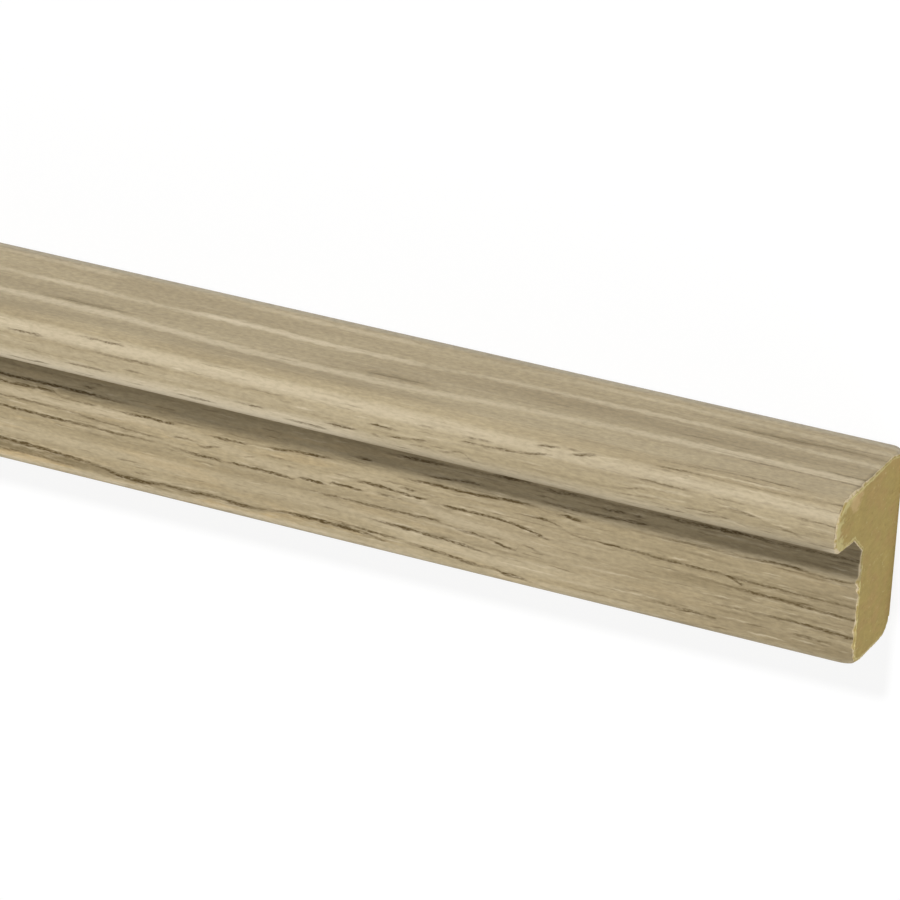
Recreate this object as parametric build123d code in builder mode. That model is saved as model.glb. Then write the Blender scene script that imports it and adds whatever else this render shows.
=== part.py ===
"""Panel end profile: a straight length of foil-wrapped fibreboard moulding, lying on its back.

X runs along the stock, Y across it towards the nose, Z up from the back face. All sizes in mm.
"""

import os

from build123d import *

# Finished stock, measured over the foil
stock_length = 2600.0
section_width = 22.0

# Wall panel whose cut edge the profile covers, and how far the nose stands proud of the panel's face
panel_thickness = 8.0
nose_overhang = 0.7

# Flange that goes behind the panel, and nose that covers the panel's edge
flange_thickness = 10.7
nose_width = 6.0
section_depth = flange_thickness + panel_thickness + nose_overhang

# Bevel that fills the inner corner between nose and flange
bevel_depth = 2.8
bevel_width = 2.2

# Roundings: the nose's front is almost a half round, with a short flat between its two arcs
nose_lip_radius = 2.6
nose_front_flat = 0.2
nose_top_radius = nose_width - nose_front_flat - nose_lip_radius
nose_back_radius = 0.6
flange_front_radius = 0.9
flange_back_radius = 1.9

# Printed foil, glued over every face but the back
foil_thickness = 0.3

# Places derived from the sizes above: the back face is the floor, the section is centred on Y
nose_side = section_width / 2
flange_side = -section_width / 2
nose_underside = nose_side - nose_width
bevel_foot = nose_underside - bevel_width
bevel_head = flange_thickness + bevel_depth
end_plane = Plane.YZ.offset(-stock_length / 2)

# Outline of the finished section, from the flange's back edge round to its front edge
outline_points = [
    (flange_side, 0),
    (nose_side, 0),
    (nose_side, section_depth),
    (nose_underside, section_depth),
    (nose_underside, bevel_head),
    (bevel_foot, flange_thickness),
    (flange_side, flange_thickness),
]
outline_radii = [
    flange_back_radius,
    nose_back_radius,
    nose_top_radius,
    nose_lip_radius,
    0,
    0,
    flange_front_radius,
]

with BuildSketch(end_plane) as finished_section:
    with BuildLine():
        FilletPolyline(*outline_points, radius=outline_radii, close=True)
    make_face()

# The core is the finished section less the foil, but it reaches the floor between the foil's two back edges
back_strip_low = flange_side + flange_back_radius
back_strip_high = nose_side - nose_back_radius

with BuildPart() as mdf_core:
    with BuildSketch(end_plane) as core_section:
        add(finished_section.sketch_local)
        offset(amount=-foil_thickness, kind=Kind.INTERSECTION, mode=Mode.REPLACE)
        with BuildLine():
            Polyline(
                (back_strip_low, 0),
                (back_strip_high, 0),
                (back_strip_high, foil_thickness),
                (back_strip_low, foil_thickness),
                close=True,
            )
        make_face()
    extrude(amount=stock_length)

# The foil follows the core all round its face sides and stops flush with the back
with BuildPart() as decor_foil:
    with BuildSketch(end_plane):
        add(finished_section.sketch_local)
        add(core_section.sketch_local, mode=Mode.SUBTRACT)
    extrude(amount=stock_length)

os.makedirs("parts", exist_ok=True)
mdf_core.part.label = "mdf_core"
export_step(mdf_core.part, "parts/mdf_core.step")
decor_foil.part.label = "decor_foil"
export_step(decor_foil.part, "parts/decor_foil.step")
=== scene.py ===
"""Looks for the panel end profile: printed oak foil over raw fibreboard, on a pale studio floor.

X runs along the stock towards the photograph's sawn end, Y across it towards the nose, Z up from the back.
The frame is in metres; the tables and the shaders below count in millimetres.
"""

import math

import bpy
import numpy as np
from mathutils import Matrix, Vector
from mathutils.geometry import delaunay_2d_cdt


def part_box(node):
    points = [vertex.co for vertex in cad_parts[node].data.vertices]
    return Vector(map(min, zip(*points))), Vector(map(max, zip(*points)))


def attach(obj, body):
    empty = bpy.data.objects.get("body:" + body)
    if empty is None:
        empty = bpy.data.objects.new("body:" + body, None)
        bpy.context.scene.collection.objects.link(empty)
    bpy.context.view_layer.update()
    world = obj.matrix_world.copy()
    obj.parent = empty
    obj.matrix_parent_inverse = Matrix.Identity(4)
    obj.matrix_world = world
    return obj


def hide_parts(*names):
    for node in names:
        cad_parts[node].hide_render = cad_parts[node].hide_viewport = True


bl_info = {
    "name": "Panel End Profile",
    "version": (1, 0, 0),
    "blender": (4, 5, 0),
    "location": "View3D > Sidebar > Trim",
    "description": "Builds a foil-wrapped fibreboard end profile and the studio that shows it",
    "category": "Object",
}

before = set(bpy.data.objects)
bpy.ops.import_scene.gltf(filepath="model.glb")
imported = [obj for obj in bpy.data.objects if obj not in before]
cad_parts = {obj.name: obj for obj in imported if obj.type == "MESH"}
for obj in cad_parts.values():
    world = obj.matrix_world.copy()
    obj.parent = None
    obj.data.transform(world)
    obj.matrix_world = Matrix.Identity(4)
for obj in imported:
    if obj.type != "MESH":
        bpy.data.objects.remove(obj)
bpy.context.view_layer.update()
FOIL_LOW, FOIL_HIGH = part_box("decor_foil")

MM = 0.001
MM_PER_M = 1000

# Span of the tables' lines below in mm from the sawn end, and mm round the section that their curves reach
TABLE_SPAN = 126
SECTION_SPAN = 60

# Pale streaks, most of them print and some painted light as marked below: half width, then (mm from the sawn
# end, mm round the section, strength)
PALE_STREAKS_AND_PAINTED_LIGHT = {
    "edge": (0.6, [
        (-126, 2.4, 0), (-104, 2.4, 0.4), (-96, 2.6, 0.45), (-93, 2.6, 0.05), (-80, 2.7, 0.05),
        (-76, 2.7, 0.35), (-66, 2.8, 0.5), (-58, 2.8, 0.45), (-54, 2.9, 0.1), (-42, 3, 0.2), (-30, 3.2, 0.3),
        (-15, 3.3, 0.3), (0, 3.6, 0.3)]),
    "middle": (0.62, [
        (-126, 7.4, 0.1), (-104, 7.6, 0.35), (-100, 7.7, 0.7), (-95, 7.7, 0.65), (-91, 7.9, 0.35),
        (-83, 7.9, 0.45), (-80, 7.7, 1), (-74, 7.7, 0.9), (-70, 7.9, 0.75), (-67, 8.1, 0.9), (-62, 8, 0.7),
        (-56, 7.8, 0.6), (-53, 7.8, 0.2), (-48, 7.3, 0.3), (-42, 7, 0.45), (-30, 6.9, 0.5), (-22, 6.7, 0.5),
        (-13, 7, 0.3), (-6, 7.2, 0.45), (0, 7.3, 0.35)]),
    "broad": (0.85, [
        (-126, 12.8, 0.4), (-104, 13.1, 0.62), (-96, 13.2, 0.62), (-90, 13.2, 0.7), (-82, 13.7, 0.6),
        (-74, 14.3, 0.55), (-65, 14.5, 0.55), (-56, 14.5, 0.5), (-50, 14.2, 0.45), (-44, 13.5, 0.42),
        (-36, 12.9, 0.4), (-28, 12.4, 0.4), (-21, 12.2, 0.6), (-12, 12.1, 0.5), (0, 12.2, 0.6)]),
    # Print streak and painted highlight: a pale band along the nose's rounding, where it faces the key light
    "nose": (0.86, [
        (-126, 19.3, 0.5), (-104, 19.3, 0.68), (-70, 19.35, 0.68), (-55, 19.4, 0.6), (-42, 19.4, 0.5),
        (-32, 19.4, 0.4), (-20, 19.3, 0.45), (-10, 19.3, 0.45), (0, 19.4, 0.45)]),
    "brow thread": (0.16, [
        (-18, 18.1, 0), (-15, 17.9, 0.45), (-12, 17.8, 0.6), (-8, 17.85, 0.5), (-5, 17.9, 0), (-3.6, 17.7, 0),
        (-3, 17.7, 0.5), (-2.3, 17.7, 0)]),
    "nose thread": (0.16, [
        (-24, 20.9, 0), (-22, 20.85, 0.4), (-17, 20.8, 0.4), (-16, 20.8, 0), (-14, 20.9, 0), (-12, 21, 0.36),
        (-8, 21.3, 0.3), (-6.5, 21.4, 0), (-4, 21, 0), (-2, 21.1, 0.36), (0, 21.2, 0.3)]),
    "roll thread": (0.16, [
        (-24, 21.8, 0), (-22, 21.8, 0.35), (-17.5, 21.6, 0.4), (-16.5, 21.5, 0), (-14, 22.6, 0),
        (-12, 22.6, 0.3), (-10.5, 22.9, 0.3), (-9.5, 23.1, 0)]),
    "nose front": (0.8, [
        (-126, 20.9, 0.1), (-104, 21.2, 0.25), (-70, 21.2, 0.25), (-50, 21, 0.15), (-30, 20.9, 0.05)]),
    "lip": (1.1, [
        (-126, 23.3, 0.4), (-100, 23.3, 0.95), (-75, 23.25, 1), (-60, 23.2, 0.95), (-53, 23.1, 0.38),
        (-45, 23.2, 0.34), (-24, 23.2, 0.34), (-12, 23.3, 0.24), (0, 23.3, 0.2)]),
    "lip end": (1, [(-2, 24.4, 0), (-0.9, 24.4, 0.6), (0, 24.4, 1)]),
    "flange": (0.7, [
        (-126, 37.8, 0), (-104, 37.7, 0.4), (-97, 37.8, 0.35), (-92, 37.6, 0.55), (-84, 37.7, 0.3),
        (-78, 38, 0.2), (-70, 39.3, 0.3), (-65, 39.4, 0.3), (-58, 37.8, 0.15), (-48, 40.3, 0.3),
        (-43, 40.6, 0.25), (-36, 41, 0)]),
    "flange low": (1, [
        (-126, 42.4, 0), (-104, 42.3, 0.2), (-80, 42.4, 0.2), (-62, 42.3, 0.2), (-50, 43.6, 0.3),
        (-40, 44, 0.3), (-30, 43.8, 0.15), (-22, 43.6, 0)]),
    "flange wash": (3.6, [(-60, 40.5, 0), (-48, 40.5, 0.13), (-36, 40.5, 0.16), (-24, 40.5, 0)]),
    # Painted light: lightens the flange just below the nose's shadow near the sawn end, moving the shadow's
    # lower edge up
    "flange head painted light": (0.4, [(-56, 36.2, 0), (-42, 36.2, 0.25), (0, 36.2, 0.25)]),
    "flange edge": (0.42, [
        (-126, 45.9, 0.45), (-70, 45.8, 0.5), (-56, 45.9, 0.45), (-48, 45.9, 0.1), (0, 45.9, 0.05)]),
}

# Broad soft shades laid over the ground, in the same terms: most are tones of the print, and those marked
# below are painted shade
SOFT_SHADES = {
    "back": (1.9, [(-60, 4.8, 0), (-45, 4.8, 0.12), (0, 4.9, 0.16)]),
    "back edge": (1.6, [(-80, 2.2, 0), (-66, 2.2, 0.08), (-14, 2.2, 0.1), (-8, 2.2, 0)]),
    "top": (2.7, [(-126, 10.2, 0.18), (-60, 10.2, 0.18), (-50, 9.6, 0.2), (-35, 9, 0.25), (0, 9.2, 0.23)]),
    "top near": (7, [(-52, 10, 0), (-25, 10, 0.05), (0, 10, 0.07)]),
    # Painted shade: darkens the nose's underside and bevel in the notch near the sawn end, where shade falls
    "notch painted shade": (2.6, [(-12, 30.2, 0), (-6, 30.2, 0.4), (0, 30.2, 0.95)]),
    "top crest": (0.6, [
        (-101, 11.8, 0), (-96, 11.8, 0.4), (-91, 11.8, 0.4), (-87, 11.7, 0), (-60, 12.6, 0), (-56, 12.5, 0.5),
        (-52, 12.5, 0.5), (-49, 12.5, 0), (-6, 11.2, 0), (-3, 11.2, 0.3), (0, 11.3, 0.3)]),
    "brow": (1.5, [
        (-100, 16.3, 0.2), (-86, 15.8, 0.17), (-74, 15.9, 0.2), (-62, 16.4, 0.2), (-52, 16.4, 0.24),
        (-43, 16, 0.12), (-36, 15.4, 0.1), (-28, 15, 0)]),
    "top edge": (0.6, [
        (-21, 5.3, 0), (-17, 5.3, 0.25), (-12, 5.5, 0.5), (-9, 5.4, 0.5), (-5, 5.1, 0.4), (0, 5.4, 0.3)]),
    # Painted shade: darkens the flange just under the nose along the whole stock, where the rebate is most
    # shut in
    "rebate": (1.1, [(-126, 33.9, 0.28), (-62, 33.9, 0.26), (-54, 33.8, 0.26), (0, 33.8, 0.26)]),
    # Painted shadow: carries the nose's shadow a little further down the flange, away from the sawn end
    "rebate painted shadow foot": (0.7, [
        (-126, 36.4, 0.3), (-104, 36.4, 0.35), (-80, 36.5, 0.35), (-66, 36.5, 0.2), (-58, 36.5, 0)]),
    "flange": (4.2, [
        (-50, 38.8, 0), (-36, 38.6, 0.06), (-25, 38.8, 0.19), (-12, 38.8, 0.28), (0, 38.8, 0.32)]),
    "nose end": (2.4, [(-22, 22.4, 0), (-15, 22.8, 0.07), (-8, 23.2, 0.14), (0, 23.3, 0.16)]),
    "corner": (1.2, [(-14, 45.2, 0), (-10, 45.2, 0.2), (-5, 45.2, 0.36), (0, 45.2, 0.42)]),
    # Painted shade: darkens the nose's shadow on the flange near the sawn end
    "rebate near painted shade": (0.9, [(-22, 35.2, 0), (-16, 35.2, 0.18), (0, 35.3, 0.26)]),
    "near lines": (0.5, [(-30, 39, 0), (-24, 39.05, 0.16), (-15, 39.25, 0.18), (0, 39.5, 0.2)]),
    "near lines middle": (0.5, [(-16, 40.45, 0), (-12, 40.5, 0.2), (0, 40.85, 0.22)]),
    "near lines low": (0.55, [(-14, 42.8, 0), (-9, 42.8, 0.2), (0, 43.1, 0.25)]),
    "flange end": (2.6, [(-24, 43.6, 0), (-12, 43.6, 0.17), (0, 43.6, 0.26)]),
    "smudge": (0.7, [(-25, 40.9, 0), (-21, 40.8, 0.3), (-16, 40.9, 0.3), (-12, 41, 0)]),
    "far": (0.9, [
        (-126, 40.6, 0), (-106, 40.7, 0.15), (-86, 40.8, 0.25), (-75, 40.9, 0.14), (-64, 41, 0.1),
        (-55, 41.1, 0)]),
    "low": (0.6, [
        (-126, 44, 0.5), (-104, 44.3, 0.7), (-96, 44.6, 0.65), (-90, 44.8, 0.45), (-85, 44.9, 0.3),
        (-72, 44.8, 0.2), (-56, 44.6, 0.1), (-48, 45, 0)]),
}

# Dark pore lines, in the same terms; the rebate's line also carries painted shade
PORE_LINES_AND_PAINTED_SHADE = {
    "top thread": (0.22, [
        (-99, 11.85, 0), (-96, 11.85, 0.3), (-93.5, 11.9, 0.35), (-91, 11.8, 0.25), (-87, 11.8, 0.1),
        (-86, 11.8, 0), (-70.5, 14.4, 0), (-67, 14.4, 0.3), (-65, 14.3, 0), (-64, 13.3, 0), (-62, 13.4, 0.35),
        (-60.5, 13.4, 0), (-59, 12.8, 0), (-57, 12.7, 0.32), (-54, 12.6, 0.35), (-52, 12.5, 0.25),
        (-50, 12.5, 0), (-48.8, 20, 0), (-48, 20, 0.35), (-47, 20, 0.35), (-46.4, 20, 0), (-15, 12.9, 0),
        (-12, 12.95, 0.35), (-4, 12.95, 0.35), (0, 13, 0.4)]),
    "top edge": (0.2, [
        (-18, 5.5, 0), (-16, 5.5, 0.2), (-13, 5.5, 0.32), (-9, 5.35, 0.36), (-7, 5.2, 0.2), (-4, 5.1, 0.24),
        (0, 5.4, 0.2)]),
    "top dash": (0.2, [
        (-24.5, 6.2, 0), (-23, 6.1, 0.3), (-21.8, 6.1, 0), (-21.7, 10, 0), (-20.5, 9.95, 0.3),
        (-18, 9.9, 0.25), (-16.5, 9.9, 0), (-5, 11.1, 0), (-3.5, 11.15, 0.35), (0, 11.3, 0.35)]),
    "brow hair": (0.14, [
        (-23, 17.6, 0), (-21, 17.5, 0.25), (-17, 17.4, 0.3), (-15.5, 17.4, 0), (-13, 17.6, 0),
        (-11, 17.55, 0.25), (-8, 17.6, 0.2), (-6, 17.6, 0)]),
    "nose hair": (0.13, [
        (-24, 20.3, 0), (-22, 20.2, 0.45), (-18, 20.2, 0.4), (-16.5, 20.1, 0), (-14.5, 20.3, 0),
        (-13.5, 20.3, 0.35), (-11, 20.35, 0.3), (-10, 20.3, 0), (-6, 20.35, 0), (-4, 20.4, 0.35),
        (0, 20.5, 0.4)]),
    "roll hair": (0.14, [
        (-26, 22.4, 0), (-24, 22.3, 0.35), (-21, 22, 0.3), (-20, 21.9, 0), (-16, 22.6, 0), (-14.5, 22.5, 0.4),
        (-12, 22.3, 0.3), (-11, 22.3, 0), (-9, 22.9, 0), (-7.5, 22.9, 0.4), (-6, 22.8, 0), (-4, 23.1, 0),
        (-2.5, 23.1, 0.4), (0, 23.1, 0.3)]),
    "brow": (0.22, [
        (-22, 17.2, 0), (-18, 17.2, 0.2), (-14, 17, 0.3), (-10, 16.9, 0.45), (-7, 16.95, 0.45), (-5, 17, 0.2),
        (-3, 17, 0)]),
    "nose crest": (0.17, [
        (-91, 18.9, 0), (-89, 18.9, 0.55), (-86, 18.9, 0.6), (-84.5, 18.9, 0), (-35, 19.2, 0),
        (-34, 19.1, 0.7), (-32.6, 18.95, 0.6), (-32, 18.9, 0), (-31, 19.3, 0), (-30, 19.2, 0.65),
        (-28.5, 18.9, 0.6), (-27, 18.7, 0), (-21.5, 18.4, 0), (-20, 18.35, 0.5), (-18, 18.25, 0.5),
        (-16, 18.3, 0.25), (-9, 18.3, 0.2), (-2, 18.1, 0.2), (0, 18, 0.6)]),
    "nose front": (0.16, [
        (-100, 19.9, 0), (-98.5, 19.9, 0.5), (-95.5, 19.9, 0.55), (-94.5, 19.9, 0), (-90, 20.3, 0),
        (-87, 20.3, 0.4), (-82, 20.3, 0.45), (-79, 20.3, 0), (-54.5, 21.1, 0), (-53.5, 21.1, 0.65),
        (-51.5, 21.1, 0.65), (-50.5, 21.1, 0), (-43.5, 20.7, 0), (-42.6, 20.65, 0.7), (-41.5, 20.6, 0.3),
        (-38, 20.5, 0.6), (-36.5, 20.4, 0.3), (-35, 20.2, 0.65), (-33.5, 20, 0.6), (-32.5, 19.9, 0)]),
    "nose roll": (0.17, [
        (-102, 21.8, 0), (-101, 21.8, 0.6), (-100, 21.8, 0), (-92, 22.2, 0), (-90.5, 22.25, 0.55),
        (-87, 22.25, 0.4), (-85.5, 22.25, 0), (-71, 22.2, 0), (-68, 22.2, 0.7), (-66.5, 22.2, 0),
        (-60, 22.2, 0), (-58.5, 22.2, 0.7), (-56.5, 22.2, 0.7), (-55.5, 22.2, 0), (-52.5, 22.1, 0),
        (-51, 21.95, 0.7), (-49.5, 21.8, 0.3), (-48, 21.6, 0.7), (-46.5, 21.5, 0), (-25, 21.6, 0),
        (-23.5, 21.5, 0.4), (-22, 21.2, 0.3), (-21.5, 21.2, 0), (-17.5, 22.3, 0), (-16.5, 22.2, 0.5),
        (-15.5, 22.1, 0.2), (-14, 22, 0.5), (-13.2, 21.6, 0), (-12.5, 21.1, 0.4), (-9.5, 21.3, 0.5),
        (-8.2, 21.6, 0.1), (-7, 22, 0.1), (-5.5, 22, 0.45), (-4.2, 22.4, 0.4), (-3, 22.5, 0)]),
    "nose specks": (0.14, [
        (-54, 22.2, 0), (-53.5, 22.2, 0.5), (-53, 22.4, 0.5), (-52.5, 22.45, 0), (-49.7, 22.35, 0),
        (-49, 22.35, 0.32), (-47.2, 22.35, 0.32), (-46.5, 22.35, 0), (-43.3, 20.1, 0), (-42.5, 20.08, 0.42),
        (-40.5, 20, 0.36), (-39.5, 19.95, 0), (-31.3, 18.85, 0), (-30.8, 18.85, 0.5), (-30, 18.85, 0.4),
        (-29.5, 18.8, 0)]),
    "nose lip": (0.17, [
        (-100, 23.3, 0), (-98, 23.3, 0.5), (-95, 23.25, 0.55), (-93.5, 23.2, 0), (-79, 23.1, 0),
        (-77, 23.1, 0.55), (-74, 23.1, 0.5), (-72.5, 23.1, 0), (-65, 23, 0), (-63, 23, 0.55), (-60, 23, 0.55),
        (-59, 23, 0), (-46, 22.4, 0), (-45, 22.3, 0.35), (-43, 21.9, 0.3), (-42, 22.6, 0.3), (-41, 22.7, 0),
        (-20.5, 23, 0), (-19.5, 23, 0.5), (-17.5, 22.95, 0.45), (-16.8, 22.9, 0)]),
    # Pore dashes and painted shade: a dark line along the top of the flange under the nose, where the rebate
    # is shut in from the light
    "rebate": (0.22, [
        (-104, 34.3, 0.2), (-94, 34.4, 0.2), (-84, 34.2, 0.1), (-60, 34, 0.1), (-56, 34.3, 0.2),
        (-53.5, 34.3, 0.8), (-50.5, 34.2, 0.7), (-48, 34.1, 0.2), (-43, 34, 0.4), (-41, 33.95, 0.85),
        (-39, 33.9, 0.5), (-37.5, 34.1, 0.2), (-35.5, 34.2, 0.7), (-33, 34.1, 0.5), (-31, 34.1, 0.25),
        (-24, 34.1, 0.4), (-20, 34.15, 0.7), (-15, 34, 0.85), (-12, 34, 0.6), (-10, 34.15, 0.5),
        (-5, 34.05, 0.5), (0, 34, 0.5)]),
    "rebate dash": (0.2, [
        (-95, 35, 0), (-93.5, 35, 0.6), (-92, 34.9, 0), (-30.5, 34.9, 0), (-29, 34.85, 0.7),
        (-27.5, 34.8, 0.6), (-26.8, 34.9, 0.1), (-25.6, 34.8, 0.6), (-24.6, 34.8, 0)]),
    "shade": (0.2, [
        (-126, 35.7, 0), (-112, 35.8, 0.6), (-98, 35.75, 0.8), (-92, 35.8, 0.7), (-87, 35.9, 0),
        (-60, 35.7, 0), (-58.5, 35.7, 0.8), (-57, 35.7, 0), (-52, 35.9, 0), (-50, 35.85, 0.5),
        (-47, 35.6, 0.6), (-45, 35.45, 0.6), (-43.5, 35.5, 0.1), (-38, 35.8, 0.1), (-35, 35.8, 0.5),
        (-30, 35.75, 0.5), (-25, 35.55, 0.7), (-24, 35.5, 0)]),
    "dashes": (0.17, [
        (-87.6, 44, 0), (-86.8, 44, 0.45), (-85.6, 43.95, 0.35), (-85, 44, 0), (-62, 44.1, 0),
        (-61, 44.1, 0.5), (-60.4, 44.15, 0.45), (-60, 44.1, 0), (-58.6, 40, 0), (-58, 40, 0.35),
        (-57.2, 39.95, 0), (-54.5, 38.1, 0), (-53.6, 38.05, 0.65), (-52.4, 38.1, 0.55), (-51.9, 38.1, 0)]),
    "flange specks": (0.15, [
        (-82.6, 36.65, 0), (-81.5, 36.65, 0.36), (-79, 36.65, 0.3), (-78.2, 36.65, 0), (-68.8, 38.8, 0),
        (-68.2, 38.8, 0.4), (-67.2, 38.85, 0.3), (-66.7, 38.8, 0), (-62.5, 38.3, 0), (-61.8, 38.3, 0.32),
        (-60, 38.3, 0.28), (-59.3, 38.3, 0), (-52.2, 38.2, 0), (-51.4, 38.2, 0.34), (-49.4, 38.2, 0.3),
        (-48.5, 38.2, 0)]),
    "first": (0.17, [
        (-110, 36.7, 0), (-104, 36.65, 0.85), (-98, 36.45, 0.75), (-97.6, 36.7, 0), (-97, 36.95, 0.3),
        (-93, 37.05, 0.5), (-92, 36.9, 0.1), (-88.5, 37.05, 0.5), (-86, 36.95, 0.9), (-83, 37, 0.8),
        (-82, 36.9, 0), (-78.5, 37.3, 0), (-77, 37.35, 0.65), (-73.5, 37.3, 0.6), (-72.5, 37.2, 0),
        (-71, 37.1, 0.2), (-69, 37, 0.8), (-67.5, 36.8, 0.6), (-64, 36.65, 0.85), (-62, 36.6, 0),
        (-55, 36.9, 0), (-51, 36.8, 0.8), (-45, 36.75, 0.85), (-40, 36.5, 0.9), (-37, 36.5, 0),
        (-35.5, 36.8, 0), (-34, 36.85, 0.9), (-32.5, 36.95, 0.8), (-31.5, 37, 0), (-24, 36.6, 0),
        (-21, 36.6, 0.5), (-18, 36.55, 0.45), (-16, 36.6, 0.2), (-13, 36.7, 0.45), (-11, 36.5, 0.6),
        (-8, 36.4, 0.65), (-6, 36.6, 0.4), (-3, 36.8, 0.5), (0, 36.6, 0.4)]),
    "second": (0.16, [
        (-110, 38.4, 0), (-104, 38.35, 0.6), (-99, 38.4, 0.4), (-95, 38.5, 0.3), (-93, 38.75, 0.5),
        (-91, 38.8, 0.35), (-88, 39, 0.5), (-84, 39.1, 0.3), (-83.4, 38.9, 0), (-82, 38.5, 0.5),
        (-80.5, 38.4, 0.4), (-79.6, 38.7, 0), (-79, 38.9, 0.5), (-77, 38.5, 0.6), (-76.3, 38.4, 0),
        (-73.8, 38.9, 0), (-73, 38.8, 0.5), (-72, 38.5, 0), (-71, 38.1, 0.1), (-70, 38.1, 0.45), (-67, 38, 0),
        (-60, 38.5, 0), (-58, 38.5, 0.8), (-53, 38.75, 0.8), (-51.4, 38.85, 0.9), (-50.6, 38.7, 0),
        (-38.5, 37.8, 0), (-37, 37.8, 0.7), (-35.6, 37.95, 0.5), (-34.6, 38.3, 0.3), (-34.2, 38.5, 0),
        (-33.5, 38.75, 0.4), (-31, 38.9, 0.3), (-29, 38.9, 0.65), (-25, 39, 0.5), (-23, 39.1, 0.68),
        (-18, 39.15, 0.64), (-15, 39.2, 0.42), (-12, 39.35, 0.68), (-8, 39.4, 0.64), (-4, 39.45, 0.4),
        (0, 39.5, 0.4)]),
    "third": (0.17, [
        (-126, 39.4, 0), (-108, 39.55, 0.7), (-98, 39.75, 0.8), (-93, 39.7, 0.55), (-90, 39.8, 0.7),
        (-87, 39.75, 0.4), (-84, 39.7, 0.1), (-82.5, 39.8, 0.3), (-80, 40, 0.6), (-77, 40.05, 0.85),
        (-75.7, 40.1, 0.1), (-75, 40, 0.7), (-69, 40.05, 0.75), (-67.5, 40.15, 0.5), (-66.8, 40, 0),
        (-66.5, 39.75, 0.5), (-64, 39.85, 0.9), (-63, 39.85, 0), (-62.6, 39.4, 0.6), (-61, 39.5, 0.85),
        (-59, 39.55, 0.6), (-58.4, 39.6, 0), (-57.5, 39.45, 0), (-56, 39.45, 0.55), (-54, 39.45, 0.5),
        (-53.5, 39.5, 0), (-51, 39.05, 0), (-48, 39, 0.75), (-44, 39, 0.75), (-40, 39.25, 0.85),
        (-37, 39.85, 0.9), (-35.8, 40.1, 0), (-15.5, 39.1, 0), (-14.5, 39.4, 0.7), (-13.3, 39.85, 0.6),
        (-12.8, 40, 0)]),
    "fourth": (0.16, [
        (-69, 41.1, 0), (-63, 41.05, 0.5), (-55, 41.05, 0.6), (-50, 41, 0.75), (-48.5, 41.1, 0.1),
        (-47, 41.4, 0.4), (-45.5, 41.5, 0.8), (-44, 41.6, 0.6), (-43.3, 41.7, 0.1), (-42, 41.95, 0.85),
        (-40.2, 42.25, 0.6), (-39.6, 42.2, 0), (-39.3, 41.4, 0), (-38, 41.6, 0.6), (-36.8, 41.9, 0),
        (-17, 40.4, 0), (-14, 40.45, 0.3), (-12.4, 40.5, 0.64), (-8, 40.6, 0.66), (-4, 40.8, 0.62),
        (0, 40.85, 0.6)]),
    "fifth": (0.18, [
        (-59, 42.7, 0), (-56, 42.75, 0.7), (-52, 42.9, 0.75), (-46, 43.15, 0.7), (-42, 43.5, 0),
        (-20, 42.8, 0), (-16, 42.85, 0.3), (-13, 42.85, 0.3), (-10, 42.8, 0.45), (-7, 42.75, 0.62),
        (-4, 42.85, 0.74), (0, 43.1, 0.68)]),
    "sixth": (0.2, [
        (-126, 43.2, 0), (-106, 43.65, 0.8), (-99, 43.9, 0.85), (-94, 44.15, 0.75), (-91, 44.5, 0.6),
        (-89, 44.95, 0.95), (-86, 44.95, 0.95), (-84, 44.7, 0.5), (-80, 44.7, 0.85), (-77, 44.6, 0.6),
        (-74, 44.85, 0.85), (-72, 44.8, 0.6), (-70, 44.6, 0.3), (-68, 44.4, 0.6), (-66, 44.4, 0.85),
        (-60, 44.55, 0.85), (-57.5, 44.65, 0.5), (-56, 44.95, 0.5), (-55, 44.9, 0), (-53.5, 44.5, 0),
        (-51, 44.6, 0.75), (-47, 44.9, 0.6), (-46, 45.05, 0.7), (-44, 45.15, 0.4), (-42.5, 45.05, 0.3),
        (-41, 45.35, 0.85), (-39.5, 45.4, 0.6), (-37.5, 45.7, 0.2), (-36, 45.8, 0), (-24, 44.3, 0),
        (-22, 44.3, 0.5), (-20.5, 44.35, 0.2), (-18.5, 44.45, 0.65), (-16, 44.55, 0.5), (-15, 44.5, 0),
        (-8, 44.2, 0), (-6, 44.15, 0.6), (-3, 44.25, 0.4), (-2, 44.2, 0)]),
    "seventh": (0.17, [
        (-126, 44.6, 0), (-106, 45, 0.5), (-100, 44.9, 0.4), (-96, 45.05, 0.45), (-94, 45, 0), (-61, 44.1, 0),
        (-59, 44.15, 0.65), (-57, 44.25, 0.6), (-54, 44.3, 0.3), (-53, 44.3, 0)]),
}

# Fringe of torn foil round the sawn ends: mm round the section, how far it is torn back in mm, how pale it is
FRINGE = [
    (0, 0.03, 0), (6, 0.05, 0), (13, 0.07, 0.05), (16.5, 0.11, 0.15), (19, 0.16, 0.3), (22.5, 0.22, 0.55),
    (24, 0.38, 1), (25.2, 0.44, 1), (26.5, 0.26, 0.9), (28, 0.03, 0), (32.5, 0.04, 0), (33.5, 0.13, 0.3),
    (36.5, 0.18, 0.45), (40, 0.12, 0.25), (46, 0.14, 0.45), (48, 0.05, 0), (58, 0.03, 0),
]

# How deep the pale skin of the board shows at the sawn ends: mm round the section, mm
SKIN_REACH = [
    (0, 0.14), (4, 0.2), (12, 0.3), (15.5, 0.9), (18, 1.7), (21, 2.2), (24, 2.2), (26, 0.7), (27.5, 0.14),
    (33, 0.14), (36, 0.28), (46, 0.26), (48, 0.12), (58, 0.1),
]

# Deeper chips in that fringe: mm round the section, half width and depth in mm
NEAR_CHIPS = [
    (3.8, 0.8, 0.06), (8.2, 0.7, 0.08), (11.9, 0.9, 0.12), (14.9, 1.5, 0.26), (17.2, 0.7, 0.12),
    (36.5, 0.5, 0.42), (37.4, 0.35, 0.28), (42.2, 0.4, 0.16), (44, 0.5, 0.22),
]
FAR_CHIPS = [
    (5, 0.9, 0.3), (13.2, 0.6, 0.3), (22, 1.2, 0.25), (35.5, 0.7, 0.2), (42, 0.9, 0.35), (50.5, 0.8, 0.3),
]

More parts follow.
